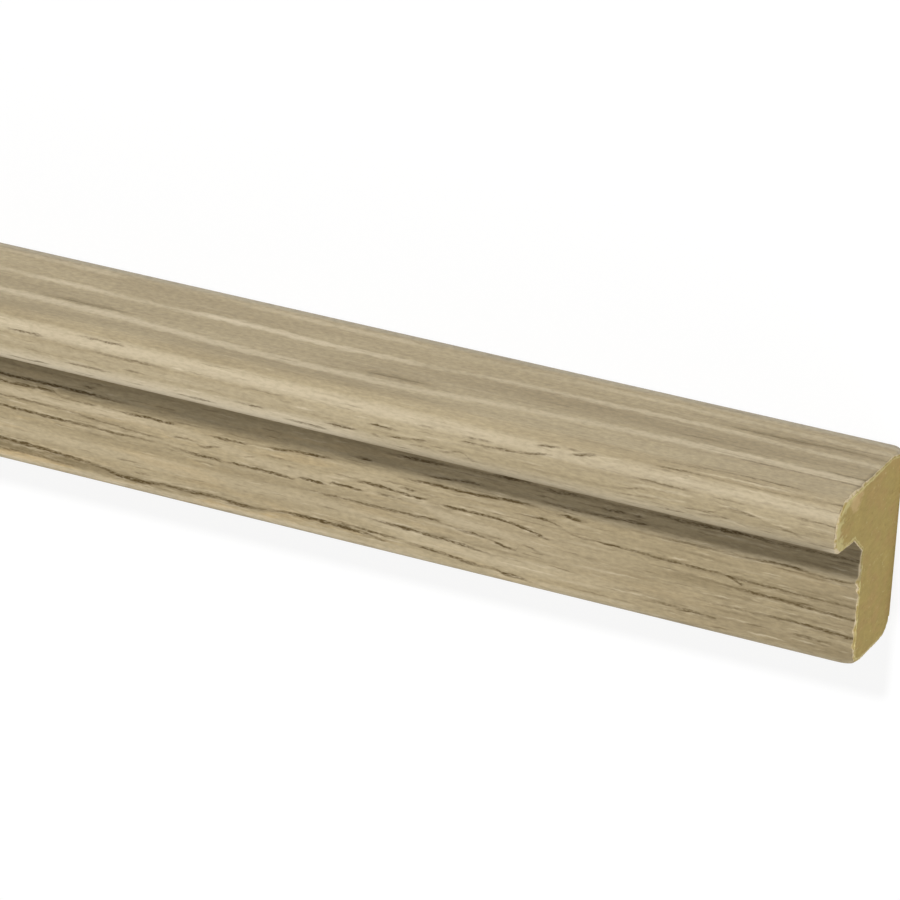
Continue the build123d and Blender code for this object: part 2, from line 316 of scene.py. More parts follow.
# Scattered lines of the print, past the drawn lines and between them: pitch of the lanes, length and half
# width in mm, the bar that the noise has to pass, seed
STRAY_TERMS = ["Pitch", "Length", "Half Width", "Bar", "Seed"]
STRAY_LINES = {
    "dark fleck": (0.5, 4.5, 0.13, 0.55, 11),
    "pale fleck": (0.55, 4, 0.15, 0.55, 41),
    "dark thread": (0.8, 9, 0.26, 0.5, 61),
    "pale thread": (0.95, 10, 0.3, 0.5, 67),
    "feather": (0.34, 3.2, 0.1, 0.5, 83),
    "pore": (1.05, 24, 0.19, 0.52, 3),
    "streak": (4.6, 55, 1, 0.44, 23),
}

# Sway of their lanes in mm and its cells along the stock and round it; stride between the lanes' noises
SWAY = 1.2
SWAY_CELLS = (45, 9)
LANE_STRIDE = 7.31

# Where the looks of the foil change, in mm round the section: each zone fades in from its first place to its
# second, and a band has a second pair over which it fades out
TOP_EDGE = 16
BACK_EDGE_ZONE = (2.4, 0.9)
FRAY_ZONE = (14, 19)
PORE_ZONE = (14, 22)
FLANGE_ZONE = (30, 34)
DRAWN_NOSE_ZONE = (24.6, 24.2)
DRAWN_FLANGE_BAND = ((33.2, 33.6), (46.6, 46.2))
CORNER_SPOT_BAND = ((44.3, 45.4), (46.9, 46.3))
# Band round the nose where the painted shadow line at the foil's cut edge runs
EDGE_SHADOW_BAND = ((16, 17.5), (22.3, 21))
STAIN_BAND = ((7.5, 9.5), (15, 13))

# The same along the stock, in mm from the sawn end
DRAWN_ZONE = (-118, -106)
BUSY_ZONE = (-80, -15)
OCHRE_ZONE = (-70, -45)
SPOT_ZONE = (-34, -50)
STAIN_ZONE = (-0.7, -0.1)

# Chip in the board at the near end, in mm: middle and half size in y and z, and how deep its colour goes
BOARD_CHIP = ((9.7, 1.1), (13.9, 2))
BOARD_CHIP_DEPTH = (-3, -1)

# Torn ends of the foil: chips and seed of the far end, then of the near end
END_TEARS = ((FAR_CHIPS, 71), (NEAR_CHIPS, 31))

# Pitches of the torn foil's ragged lines in mm: waves and teeth of the fringe, broken edge, inner side, chips
WAVE_PITCH = 1.4
TOOTH_PITCH = 0.5
BREAK_PITCH = 0.3
INNER_PITCH = 0.6
CHIP_PITCH = 0.4

# Depth of those lines: least share of the fringe, shares of its waves and teeth, tear of the inner side in
# mm; rough share of a chip's floor, share of a chip that reaches the inner side, depth in mm that bares paper
FRINGE_LEAST = 0.3
WAVE_SHARE = 0.9
TOOTH_SHARE = 0.4
INNER_TEAR = 0.03
CHIP_ROUGH = 0.3
CHIP_INNER = 0.35
BARE_DEPTH = 0.3

# Longest step along the straight faces of the section, in mm
FACE_STEP = 0.15

# Rings near each end, in metres from it, and plain rings in each row of the bake map over the rest
END_RINGS = [d * MM for d in (0, 0.08, 0.18, 0.3, 0.45, 0.65, 0.9, 1.25, 1.7, 2.4, 4)]
BAKE_ROWS = 3
RINGS_PER_ROW = 4

# Corners worn in by handling at the ends, in mm: place round the section, half width, depth, reach along it
WORN_CORNERS = [(0.9, 1.7, 0.6, 1.1), (29, 40, 0.04, 0.3), (46.3, 1.5, 0.42, 1.9), (56, 1.5, 0.15, 1)]

# Core: points across its raw back; grid of its sawn ends in mm, its jitter and its clearance from the rim;
# how deep the saw sinks the fibres, and how deep the pale skin shows along the back
BACK_POINTS = 50
END_GRID = 0.4
END_JITTER = 0.12
RIM_CLEARANCE = 0.22
FIBRE_SINK = 0.05
BACK_SKIN = 0.12
END_SEED = 5

# Settings of the triangulation: triangles inside the rim only, points nearer than this in mm count as one
INSIDE_ONLY = 1
MERGE_WITHIN = 0.000001
NO_LENGTH = 1e-18

# Edges that turn by more than this stay crisp, in degrees
CORE_CREASE = 40
FOIL_CREASE = 25

# Bake map: start and width of the length; bands as start, step for each row and height; tile of the core's
# end as start, size and step to the other end
BAKE_LENGTH = (0.01, 0.98)
CORE_BACK_BAND = (0.5, 0.15, 0.13)
CORE_SIDE_BAND = (0.96, 0.012, 0.01)
CORE_END_TILE = (0.02, 0.46, 0.5)
FOIL_FACE_BAND = (0.01, 0.3, 0.285)
FOIL_INNER_BAND = (0.915, 0.008, 0.006)
FOIL_EDGE_BANDS = ((0.94, 0.004, 0.003), (0.955, 0.004, 0.003))
FOIL_END_BANDS = ((0.97, 0, 0.01), (0.985, 0, 0.01))

# Studio: the floor's half side and drop under the stock in metres, its share of glow where the camera sees
# it, where the key and the side light come from, and how narrow the side light is
FLOOR_HALF = 40
FLOOR_DROP = 0.01 * MM
FLOOR_GLOW = 0.86
KEY_FROM = (-0.05, 0.636, 0.772)
SIDE_FROM = (0.6, -0.8, 0)
SIDE_FOCUS = 2
WHITE = (1, 1, 1)

# Camera fitted to the photograph: its place and its axes in the picture
CAMERA_PLACE = (1.45977, 0.224137, 0.471749)
CAMERA_RIGHT = Vector((0.901502, 0.048158, -0.430086))
CAMERA_DOWN = Vector((0.212318, -0.91519, 0.342561))
CAMERA_AHEAD = Vector((-0.377114, -0.400135, -0.835271))
SENSOR_WIDTH = 36
VIEW_END = 200


def srgb(*screen):
    """Linear colour of a screen colour written in 0 to 255."""
    shares = [level / 255 for level in screen]
    return tuple(c / 12.92 if c <= 0.04045 else ((c + 0.055) / 1.055) ** 2.4 for c in shares)


def size(name, description, default):
    """A length that a user may change, in metres."""
    return bpy.props.FloatProperty(
        name=name, description=description, default=default, unit="LENGTH", precision=5)


def tone(name, description, default):
    """A colour that a user may change."""
    return bpy.props.FloatVectorProperty(
        name=name, description=description, default=default, subtype="COLOR", min=0, max=1)


def strength(name, description, default):
    """A strength of light that a user may change."""
    return bpy.props.FloatProperty(name=name, description=description, default=default, min=0)


class TrimSection(bpy.types.PropertyGroup):
    """Sizes of the finished section, over the foil."""

    flange_thickness: size("Flange thickness", "From the back face to the panel seat", 0.0107)
    nose_width: size("Nose width", "Across the nose, from its side to its underside", 0.006)
    bevel_depth: size("Bevel depth", "Height of the inner bevel above the flange", 0.0028)
    bevel_width: size("Bevel width", "Width of the inner bevel on the flange", 0.0022)
    nose_top_radius: size("Nose top radius", "Rounding between the nose's side and its front", 0.0032)
    nose_lip_radius: size("Nose lip radius", "Rounding between the nose's front and its underside", 0.0026)
    nose_back_radius: size("Nose back radius", "Rounding of the nose's back edge", 0.0006)
    flange_front_radius: size("Flange front radius", "Rounding of the flange's front edge", 0.0009)
    flange_back_radius: size("Flange back radius", "Rounding of the flange's back edge", 0.0019)
    foil_thickness: size("Foil thickness", "Thickness of the printed foil", 0.0003)
    edge_break: size("Edge break", "How far the saw breaks the foil's edge back", 0.00006)


class TrimFinish(bpy.types.PropertyGroup):
    """Colours of the foil and the fibreboard."""

    oak_ground: tone("Oak ground", "Main tone of the printed oak", srgb(170, 155, 124))
    oak_shade: tone("Oak shade", "Darker clouds of the print", srgb(158, 143, 113))
    oak_warm: tone("Oak warm", "Ochre tinge beside the pores", srgb(184, 160, 118))
    # Oak streak is also the colour of the painted highlight on the nose and the painted light under the
    # rebate's shadow
    oak_pale: tone("Oak streak", "Pale streaks of the print", srgb(204, 190, 162))
    # Oak pore is also the colour of the painted shadow line at the nose's cut edge and of the rebate's partly
    # painted shade line
    oak_pore_and_shadow: tone("Oak pore", "Dark pore lines of the print", srgb(86, 70, 40))
    oak_edge: tone("Oak edge", "Greyer tone along the nose's back edge", srgb(160, 154, 140))
    # Oak dusk is also the colour of the painted shade in the rebate under the nose and in the notch
    oak_dusk: tone("Oak dusk", "Broad greyish shades of the print", srgb(112, 97, 66))
    cut_edge: tone("Cut foil", "Broken edge of the foil at the saw cut", srgb(204, 187, 156))
    board_heart: tone("Board heart", "Fibreboard in the middle of the cut", srgb(164, 144, 86))
    board_skin: tone("Board skin", "Denser fibreboard near the faces", srgb(196, 184, 128))
    board_warm: tone("Board warm", "Redder drifts in the fibreboard", srgb(174, 146, 92))
    board_chip: tone("Board chip", "Torn fibres where the saw broke a chip out", srgb(196, 168, 120))
    board_fleck: tone("Board fleck", "Dark fibre bundles in the board", srgb(122, 100, 58))


class TrimStage(bpy.types.PropertyGroup):
    """Studio light, floor and camera."""

    floor_tone: tone("Floor", "Colour of the studio floor", (0.8, 0.8, 0.8))
    key_strength: strength("Key light", "Strength of the lamp that casts the rebate's shadow", 2.7)
    key_angle: bpy.props.FloatProperty(
        name="Key size", description="Angle that the lamp fills, which softens its shadows",
        default=math.radians(6), subtype="ANGLE")
    fill_strength: strength("Fill light", "Strength of the light from all round", 0.2)
    side_strength: strength("Side light", "Extra light from the flange's side and the sawn end", 2.0)
    lens: bpy.props.FloatProperty(
        name="Lens", description="Focal length on a 36 mm sensor",
        default=201.997, subtype="DISTANCE_CAMERA", min=1)


class Bench:
    """Places nodes in one tree and wires them; values and sockets are taken alike."""

    def __init__(self, tree):
        self.tree = tree

    def feed(self, socket, value):
        if isinstance(value, bpy.types.NodeSocket):
            self.tree.links.new(value, socket)
        elif value is not None:
            if socket.type == "RGBA" and len(value) == 3:
                value = (*value, 1)
            socket.default_value = value

    def node(self, kind, inputs=None, **settings):
        made = self.tree.nodes.new(kind)
        for key, value in settings.items():
            setattr(made, key, value)
        for key, value in (inputs or {}).items():
            self.feed(made.inputs[key], value)
        return made

    def group(self, tree, inputs):
        return self.node("ShaderNodeGroup", inputs, node_tree=tree).outputs

    def carried(self, label):
        """A named value that the mesh carries at its points."""
        return self.node("ShaderNodeAttribute", attribute_name=label).outputs["Fac"]

    def math(self, operation, first, second=None, third=None, clamp=False):
        made = self.node("ShaderNodeMath", operation=operation, use_clamp=clamp)
        for socket, value in zip(made.inputs, (first, second, third)):
            self.feed(socket, value)
        return made.outputs[0]

    def plus(self, total, *values, clamp=False):
        for value in values:
            total = self.math("ADD", total, value, clamp=clamp)
        return total

    def times(self, total, *values, clamp=False):
        for value in values:
            total = self.math("MULTIPLY", total, value, clamp=clamp)
        return total

    def minus(self, first, second, clamp=False):
        return self.math("SUBTRACT", first, second, clamp=clamp)

    def over(self, first, second, clamp=False):
        return self.math("DIVIDE", first, second, clamp=clamp)

    def ramp(self, value, slope, start, clamp=False):
        """A value times a slope, counted from a start."""
        return self.math("MULTIPLY_ADD", value, slope, start, clamp=clamp)

    def fade(self, value, low, high, to_low=0, to_high=1):
        """Smooth step between two levels, while the value goes from low to high."""
        bounds = {"From Min": low, "From Max": high, "To Min": to_low, "To Max": to_high}
        made = self.node("ShaderNodeMapRange", {"Value": value, **bounds}, interpolation_type="SMOOTHSTEP")
        return made.outputs[0]

    def band(self, value, rise, fall):
        """Mask that fades in over one pair of places and out over another."""
        return self.times(self.fade(value, *rise), self.fade(value, *fall))

    def place(self, x, y, z=0):
        return self.node("ShaderNodeCombineXYZ", {"X": x, "Y": y, "Z": z}).outputs[0]

    def noise(self, vector, scale=1, detail=2, roughness=0.6, dimensions="3D"):
        inputs = {"Vector": vector, "Scale": scale, "Detail": detail, "Roughness": roughness}
        return self.node("ShaderNodeTexNoise", inputs, noise_dimensions=dimensions).outputs[0]

    def grain(self, spot, cells, detail=2, roughness=0.6, layer=None):
        """Noise with a cell size of its own in each direction; a layer sets it off from others."""
        parts = [self.over(part, cell) for part, cell in zip(spot, cells)]
        if layer is not None:
            parts.append(layer)
        return self.noise(self.place(*parts), 1, detail, roughness, f"{len(parts)}D")

    def tint(self, amount, first, second):
        made = self.node("ShaderNodeMix", data_type="RGBA")
        for index, value in ((0, amount), (6, first), (7, second)):
            self.feed(made.inputs[index], value)
        return made.outputs[2]

    def shade(self, colour, level):
        """A colour made lighter or darker by a level."""
        return self.node("ShaderNodeVectorMath", {0: colour, "Scale": level}, operation="SCALE").outputs[0]

    def mix_shaders(self, amount, first, second):
        return self.node("ShaderNodeMixShader", {0: amount, 1: first, 2: second}).outputs[0]


def cleared(owner):
    """Bench on the emptied node tree of a material or a world."""
    owner.use_nodes = True
    owner.node_tree.nodes.clear()
    return Bench(owner.node_tree)


def new_group(name, inputs, outputs):
    """An empty shader node group with float sockets, its bench and its ends."""
    tree = bpy.data.node_groups.new(name, "ShaderNodeTree")
    for label in inputs:
        tree.interface.new_socket(label, in_out="INPUT", socket_type="NodeSocketFloat")
    for label in outputs:
        tree.interface.new_socket(label, in_out="OUTPUT", socket_type="NodeSocketFloat")
    ends = tree.nodes.new("NodeGroupInput"), tree.nodes.new("NodeGroupOutput")
    return tree, Bench(tree), ends[0].outputs, ends[1].inputs


def fibre_group():
    """Fine mottle of pressed or printed fibre, stretched along one direction."""
    if "Fibre mottle" in bpy.data.node_groups:
        return bpy.data.node_groups["Fibre mottle"]
    inputs = ["Along", "Across", "Depth", "Length", "Width"]
    tree, b, ins, outs = new_group("Fibre mottle", inputs, ["Clouds", "Fibre"])
    along = b.over(ins["Along"], ins["Length"])
    across = b.over(ins["Across"], ins["Width"])
    depth = b.over(ins["Depth"], ins["Width"])
    spot = b.place(along, across, depth)
    b.feed(outs["Fibre"], b.noise(spot, detail=4, roughness=0.65))
    b.feed(outs["Clouds"], b.noise(spot, scale=0.07, detail=3, roughness=0.55))
    return tree


def fibre_at(b, spot, length, width):
    """Clouds and fibre of the mottle at a spot, for fibres of a length and width in mm."""
    along, across, depth = spot
    terms = {"Along": along, "Across": across, "Depth": depth, "Length": length, "Width": width}
    made = b.group(fibre_group(), terms)
    return made["Clouds"], made["Fibre"]


def line_group():
    """One line of the tables, which hold print as well as painted light and shade: its mark and the rim
    beside it, from its middle, width and strength at a place.
    """
    inputs = ["Across", "Middle", "Half Width", "Strength"]
    tree, b, ins, outs = new_group("Table line", inputs, ["Ink", "Rim"])
    width = b.times(ins["Half Width"], b.ramp(ins["Strength"], 0.6, 0.8))
    off = b.over(b.minus(ins["Across"], ins["Middle"]), width)
    square = b.times(off, off)
    body = b.minus(1, square, clamp=True)
    rim = b.ramp(square, -0.1, 1, clamp=True)
    b.feed(outs["Ink"], b.times(body, ins["Strength"]))
    b.feed(outs["Rim"], b.times(rim, ins["Strength"]))
    return tree


def stray_group():
    """Scattered dashes along the grain, in swaying lanes round the section."""
    tree, b, ins, outs = new_group("Stray lines", ["Along", "Across", *STRAY_TERMS], ["Ink"])
    along, across, seed = ins["Along"], ins["Across"], ins["Seed"]
    sway = b.ramp(b.grain((along, across), SWAY_CELLS, 1, 0.5, seed), 2 * SWAY, -SWAY)
    lanes = b.over(b.plus(across, sway), ins["Pitch"])
    lane = b.math("FLOOR", lanes)
    chance = b.node("ShaderNodeTexWhiteNoise", {"Vector": b.place(lane, seed)}, noise_dimensions="2D")
    run_at = b.place(b.over(along, ins["Length"]), b.times(lane, LANE_STRIDE), seed)
    run = b.noise(run_at, roughness=0.45)
    mark = b.times(b.minus(run, ins["Bar"]), 6, clamp=True)
    middle = b.ramp(chance.outputs["Value"], 0.5, 0.25)
    off = b.times(b.minus(b.math("FRACT", lanes), middle), ins["Pitch"])
    off = b.over(off, b.times(ins["Half Width"], b.ramp(mark, 0.6, 0.4)))
    body = b.minus(1, b.times(off, off), clamp=True)
    b.feed(outs["Ink"], b.times(body, body, mark))
    return tree


def curve_of(bench, position, pairs, handle):
    """A value along the tables' span, drawn through (mm from the sawn end, value from 0 to 1)."""
    made = bench.node("ShaderNodeFloatCurve", {"Value": position})
    points = made.mapping.curves[0].points
    spots = [((x + TABLE_SPAN) / TABLE_SPAN, value) for x, value in pairs]
    if spots[0][0] > 0:
        spots.insert(0, (0, spots[0][1]))
    if spots[-1][0] < 1:
        spots.append((1, spots[-1][1]))
    while len(points) < len(spots):
        points.new(0.5, 0.5)
    for point, spot in zip(points, spots):
        point.location = spot
        point.handle_type = handle
    made.mapping.update()
    return made.outputs[0]


def table_lines(bench, table, position, across, line):
    """Sum of the marks of a table's lines, print and painted light and shade alike, and of the rims beside
    them.
    """
    mark = rim = 0
    for half_width, spots in table.values():
        middle = curve_of(bench, position, [(x, s / SECTION_SPAN) for x, s, _ in spots], "AUTO_CLAMPED")
        level = curve_of(bench, position, [(x, v) for x, _, v in spots], "VECTOR")
        terms = {"Middle": bench.times(middle, SECTION_SPAN), "Half Width": half_width, "Strength": level}
        made = bench.group(line, {"Across": across, **terms})
        mark = bench.plus(mark, made["Ink"])
        rim = bench.plus(rim, made["Rim"])
    return bench.math("MINIMUM", mark, 1), bench.math("MINIMUM", rim, 1)


def new_material(name):
    """A material with an empty tree, its bench, its shader and its place in the stock in mm."""
    material = bpy.data.materials.new(name)
    b = cleared(material)
    shader = b.node("ShaderNodeBsdfPrincipled")
    b.node("ShaderNodeOutputMaterial", {"Surface": shader.outputs[0]})
    where = b.node("ShaderNodeSeparateXYZ", {"Vector": b.node("ShaderNodeTexCoord").outputs["Object"]})
    return material, b, shader, [b.times(part, MM_PER_M) for part in where.outputs]


def dress(b, shader, colour, roughness, specular, height, bump, relief):
    """Feed a shader its colour, its roughness and its fine relief, which is given in mm."""
    b.feed(shader.inputs["Base Color"], colour)
    b.feed(shader.inputs["Roughness"], roughness)
    shader.inputs["Specular IOR Level"].default_value = specular
    made = b.node("ShaderNodeBump", {"Height": height, "Strength": bump, "Distance": relief * MM})
    b.feed(shader.inputs["Normal"], made.outputs[0])


def oak_foil_material(finish, end_x):
    """Printed oak: clouds, fibre, pale streaks, pore lines, painted shade and light, over a fine embossed
    tooth.
    """
    material, b, shader, (x, _, _) = new_material("oak_foil_print_and_painted_light")
    along = b.minus(x, end_x)
    around = b.times(b.carried("around"), MM_PER_M)
    spot = (along, around)
    clouds, fibre = fibre_at(b, (along, around, 0), length=2.2, width=0.4)
    past_top = b.math("MAXIMUM", b.minus(around, TOP_EDGE), 0)
    cells = b.ramp(past_top, 1.8, b.times(around, 1.9))
    mottle = b.noise(b.place(b.over(along, 0.85), cells), dimensions="2D")
    warm = b.grain(spot, (15, 1.7), 3)
    wobble = b.grain(spot, (1.2, 0.5))
    tooth = b.grain(spot, (0.55, 0.16), layer=2)
    fray = b.grain(spot, (1.8, 0.7), layer=4)
    beads = b.grain(spot, (1.8, 0.5), layer=9)
    across = b.plus(around, b.ramp(wobble, 0.3, -0.15))
    ragged = b.ramp(b.minus(fray, 0.5), b.fade(around, *FRAY_ZONE, 1.3, 0.5), around)

    # Masks: where the lines are drawn, where stray ones take their place, and where the pores are strong
    near = b.fade(along, *DRAWN_ZONE)
    drawn = b.plus(b.fade(around, *DRAWN_NOSE_ZONE), b.band(around, *DRAWN_FLANGE_BAND))
    loose = b.minus(1, b.times(near, drawn))
    pore_zone = b.fade(around, *PORE_ZONE, 0.15, 1)
    busy = b.times(b.fade(along, *BUSY_ZONE, 0.11, 0.22), b.fade(around, *FLANGE_ZONE, 1, 1.5))

    # Lines: scattered ones of the print, and those of the tables, which also hold painted light and shade
    stray = stray_group()
    strays = {}
    for name, values in STRAY_LINES.items():
        terms = dict(zip(STRAY_TERMS, values))
        strays[name] = b.group(stray, {"Along": along, "Across": across, **terms})["Ink"]
    line = line_group()
    position = b.over(b.plus(along, TABLE_SPAN), TABLE_SPAN, clamp=True)
    streaks_and_light, _ = table_lines(b, PALE_STREAKS_AND_PAINTED_LIGHT, position, ragged, line)
    shades, _ = table_lines(b, SOFT_SHADES, position, ragged, line)
    pores_and_shade, rims = table_lines(b, PORE_LINES_AND_PAINTED_SHADE, position, across, line)

    # Pale ink: streaks broken by the mottle, some of them painted highlight and painted light, flecks beside
    # the pores, fine threads
    pale = b.plus(streaks_and_light, b.times(strays["streak"], loose, 0.7))
    pale = b.times(pale, b.fade(mottle, 0.3, 0.6, 0.8, 1.05))
    flecks = b.plus(b.times(rims, b.fade(fibre, 0.48, 0.66)), strays["pale fleck"])
    flecks = b.times(flecks, pore_zone, 0.6)
    pale = b.plus(pale, flecks, b.times(strays["pale thread"], busy), clamp=True)

    # Dark ink: pores broken into beads, the rebate's line partly painted shade, feathers beside them, flecks
    # and fine threads
    lines = b.plus(b.times(pores_and_shade, near), b.times(strays["pore"], loose, pore_zone))
    lines = b.times(lines, b.fade(beads, 0.32, 0.54, 0.72, 1.15), b.fade(tooth, 0.34, 0.6, 0.5, 1.3))
    lines = b.ramp(strays["feather"], b.times(rims, near, 0.4), lines)
    flecks = b.ramp(strays["dark fleck"], b.times(pore_zone, 0.5), b.times(strays["dark thread"], busy))
    dark = b.plus(lines, flecks, clamp=True)

    # Ground: clouds, ochre tinges, the greyer back edge and the broad shades, some of them painted shade in
    # the rebate and the notch, then fibre and mottle
    ground = b.tint(b.fade(clouds, 0.35, 0.65), finish.oak_shade, finish.oak_ground)
    ochre = b.times(b.fade(along, *OCHRE_ZONE, 1, 0.3), b.fade(around, *FLANGE_ZONE))
    ochre = b.times(ochre, b.fade(warm, 0.5, 0.72, 0, 0.3))
    spots = b.times(b.fade(along, *SPOT_ZONE), b.band(around, *CORNER_SPOT_BAND))
    spots = b.times(spots, b.fade(warm, 0.47, 0.62, 0, 0.5))
    ground = b.tint(b.plus(ochre, spots, clamp=True), ground, finish.oak_warm)
    ground = b.tint(b.fade(around, *BACK_EDGE_ZONE, 0, 0.6), ground, finish.oak_edge)
    ground = b.tint(shades, ground, finish.oak_dusk)
    coarse = b.times(b.minus(fibre, 0.5), b.ramp(pore_zone, 0.24, 0.2))
    fine = b.times(b.minus(mottle, 0.5), b.ramp(pore_zone, -0.12, 0.56))
    ground = b.shade(ground, b.plus(coarse, fine, 1))
    ground = b.tint(b.times(pale, 0.92), ground, finish.oak_pale)
    ground = b.tint(dark, ground, finish.oak_pore_and_shadow)

    # Marks at the near end: a painted shadow line just inside the foil's cut edge on the nose, and a stain on
    # its side
    ripple = b.noise(b.place(around, 0), scale=0.9, dimensions="2D")
    off_edge_shadow = b.math("ABSOLUTE", b.plus(b.ramp(ripple, 0.3, 0.02), along))
    edge_shadow_line = b.times(b.fade(off_edge_shadow, 0.08, 0.02), b.band(around, *EDGE_SHADOW_BAND))
    edge_shadow_line = b.times(edge_shadow_line, b.fade(beads, 0.4, 0.55, 0.1, 0.6))
    stain = b.times(b.fade(along, *STAIN_ZONE, 0, 0.4), b.band(around, *STAIN_BAND))
    ground = b.tint(b.plus(edge_shadow_line, stain, clamp=True), ground, finish.oak_pore_and_shadow)

    roughness = b.ramp(fibre, 0.2, b.ramp(dark, 0.15, 0.45))
    height = b.ramp(mottle, 0.6, fibre)
    dress(b, shader, ground, roughness, specular=0.25, height=height, bump=0.3, relief=0.05)
    return material


def cut_foil_material(finish):
    """Broken edge of the foil: pale paper with torn fibres, stained by the board in places."""
    material, b, shader, spot = new_material("oak_foil_cut_edge")
    _, fibre = fibre_at(b, spot, length=0.3, width=0.3)
    patchy = b.noise(b.place(*spot), scale=1.2)
    bare = b.ramp(b.minus(patchy, 0.5), 2.2, b.carried("paper"))
    stained = b.tint(b.fade(patchy, 0.36, 0.7, 0, 0.7), finish.board_heart, finish.board_skin)
    colour = b.tint(b.fade(bare, 0.25, 1.1), stained, finish.cut_edge)
    colour = b.tint(b.fade(fibre, 0.52, 0.72, 0, 0.5), colour, finish.board_heart)
    dress(b, shader, colour, b.ramp(fibre, 0.2, 0.7), specular=0.2, height=fibre, bump=0.5, relief=0.06)
    return material


def fibreboard_material(finish, end_x):
    """Raw fibreboard: warm drifts, flakes, a lighter skin under the faces, a chip at the near end."""
    material, b, shader, spot = new_material("raw_fibreboard")
    x, y, z = spot
    _, fibre = fibre_at(b, spot, length=0.5, width=0.25)
    grain = b.grain(spot, (0.6, 0.5, 1.1), 3)
    drift = b.grain(spot, (6, 1.7, 3), roughness=0.5)
    patchy = b.grain(spot, (4, 1, 1.8))
    flake = b.grain(spot, (0.9, 0.42, 0.8), 1, 0.5)
    colour = b.tint(b.fade(drift, 0.42, 0.64, 0, 0.7), finish.board_heart, finish.board_warm)
    colour = b.shade(colour, b.ramp(b.minus(drift, 0.5), -0.3, b.ramp(grain, 0.4, 0.8)))

    # Skin: the depth under the face counts in reaches of the skin, so it is a plain number
    skin = b.times(b.carried("skin_depth"), MM_PER_M)
    near_face = b.ramp(b.minus(patchy, 0.45), 4, skin)
    colour = b.tint(b.fade(near_face, 1.2, 0.2, 0, 0.85), colour, finish.board_skin)

    off_chip = [b.over(b.minus(part, middle), half) for part, (middle, half) in zip((y, z), BOARD_CHIP)]
    off_chip = b.node("ShaderNodeVectorMath", {0: b.place(*off_chip)}, operation="LENGTH").outputs["Value"]
    off_chip = b.ramp(b.minus(patchy, 0.5), 1.6, off_chip)
    at_end = b.fade(x, *(end_x + depth for depth in BOARD_CHIP_DEPTH))
    colour = b.tint(b.times(b.fade(off_chip, 1.1, 0.5, 0, 0.7), at_end), colour, finish.board_chip)
    colour = b.tint(b.fade(flake, 0.34, 0.22, 0, 0.32), colour, finish.board_skin)
    colour = b.tint(b.fade(flake, 0.66, 0.78, 0, 0.32), colour, finish.board_fleck)
    dress(b, shader, colour, b.ramp(fibre, 0.15, 0.78), specular=0.2, height=fibre, bump=0.4, relief=0.08)
    return material


def face_outline(section):
    """Outline of the foil's face from the nose's back edge round to the flange's back edge.

    Gives the points, the inward step to the foil's inner side at each, and the distance run, in metres.
    """
    nose, flange = FOIL_HIGH.y, FOIL_LOW.y
    depth = FOIL_HIGH.z - FOIL_LOW.z
    seat = section.flange_thickness
    under = nose - section.nose_width
    foot = (under - section.bevel_width, seat)
    head = (under, seat + section.bevel_depth)
    back, top, lip = section.nose_back_radius, section.nose_top_radius, section.nose_lip_radius
    front, heel = section.flange_front_radius, section.flange_back_radius

    def quarter(y, z, radius, start, steps):
        turn = np.radians(np.linspace(start, start + 90, steps + 1))
        return [(y + radius * np.cos(a), z + radius * np.sin(a), -np.cos(a), -np.sin(a)) for a in turn]

    bevel_out = np.array([foot[1] - head[1], head[0] - foot[0]])
    bevel_out = bevel_out / np.hypot(*bevel_out)
    knots = quarter(nose - back, back, back, start=-90, steps=8)
    knots += quarter(nose - top, depth - top, top, start=0, steps=24)
    knots += quarter(under + lip, depth - lip, lip, start=90, steps=20)
    for corner, first, second in ((head, (-1, 0), bevel_out), (foot, bevel_out, (0, 1))):
        both = np.array(first) + np.array(second)
        knots.append((*corner, *(-both / (1 + np.dot(first, second)))))
    knots += quarter(flange + front, seat - front, front, start=90, steps=8)
    knots += quarter(flange + heel, heel, heel, start=180, steps=12)

    line = [knots[0]]
    for last, knot in zip(knots, knots[1:]):
        run = math.dist(last[:2], knot[:2])
        straight = np.array(knot[:2]) - np.array(last[:2])
        inward = np.array([-straight[1], straight[0]]) / run
        pieces = max(1, round(run / (FACE_STEP * MM)))
        for i in range(1, pieces):
            line.append((*(np.array(last[:2]) + straight * (i / pieces)), *inward))
        line.append(knot)
    line = np.array(line)
    around = np.concatenate([[0], np.cumsum(np.hypot(*np.diff(line[:, :2], axis=0).T))])
    return line[:, :2], line[:, 2:], around


def torn(around, seed, pitch):
    """Rounded ragged line of values from 0 to 1 along the outline, for broken foil; its pitch is in mm."""
    place = around / (pitch * MM)
    values = np.random.default_rng(seed).random(int(place[-1]) + 3)
    step = np.floor(place).astype(int)
    ease = (place - step) ** 2 * (3 - 2 * (place - step))
    return values[step] * (1 - ease) + values[step + 1] * ease


def end_shape(around, chips, seed, edge_break):
    """How far the foil's face and inner side stop short of a sawn end, and how bare its paper is there."""
    spots, widths, pale = np.array(FRINGE).T
    ragged = FRINGE_LEAST + WAVE_SHARE * torn(around, seed, WAVE_PITCH)
    ragged = ragged + TOOTH_SHARE * torn(around, seed + 1, TOOTH_PITCH)
    face = np.interp(around / MM, spots, widths) * MM * ragged
    face = face + edge_break * torn(around, seed + 2, BREAK_PITCH)
    inner = INNER_TEAR * MM * torn(around, seed + 3, INNER_PITCH)
    bare = np.interp(around / MM, spots, pale)
    for middle, half, depth in chips:
        bite = np.clip(1 - ((around / MM - middle) / half) ** 2, 0, 1)
        rough = torn(around, seed + int(middle * 10), CHIP_PITCH)
        bite = bite * (1 - CHIP_ROUGH + CHIP_ROUGH * rough)
        face = face + bite * depth * MM
        inner = inner + bite * CHIP_INNER * depth * MM
        bare = np.maximum(bare, bite * min(1, depth / BARE_DEPTH))
    return face, inner, bare


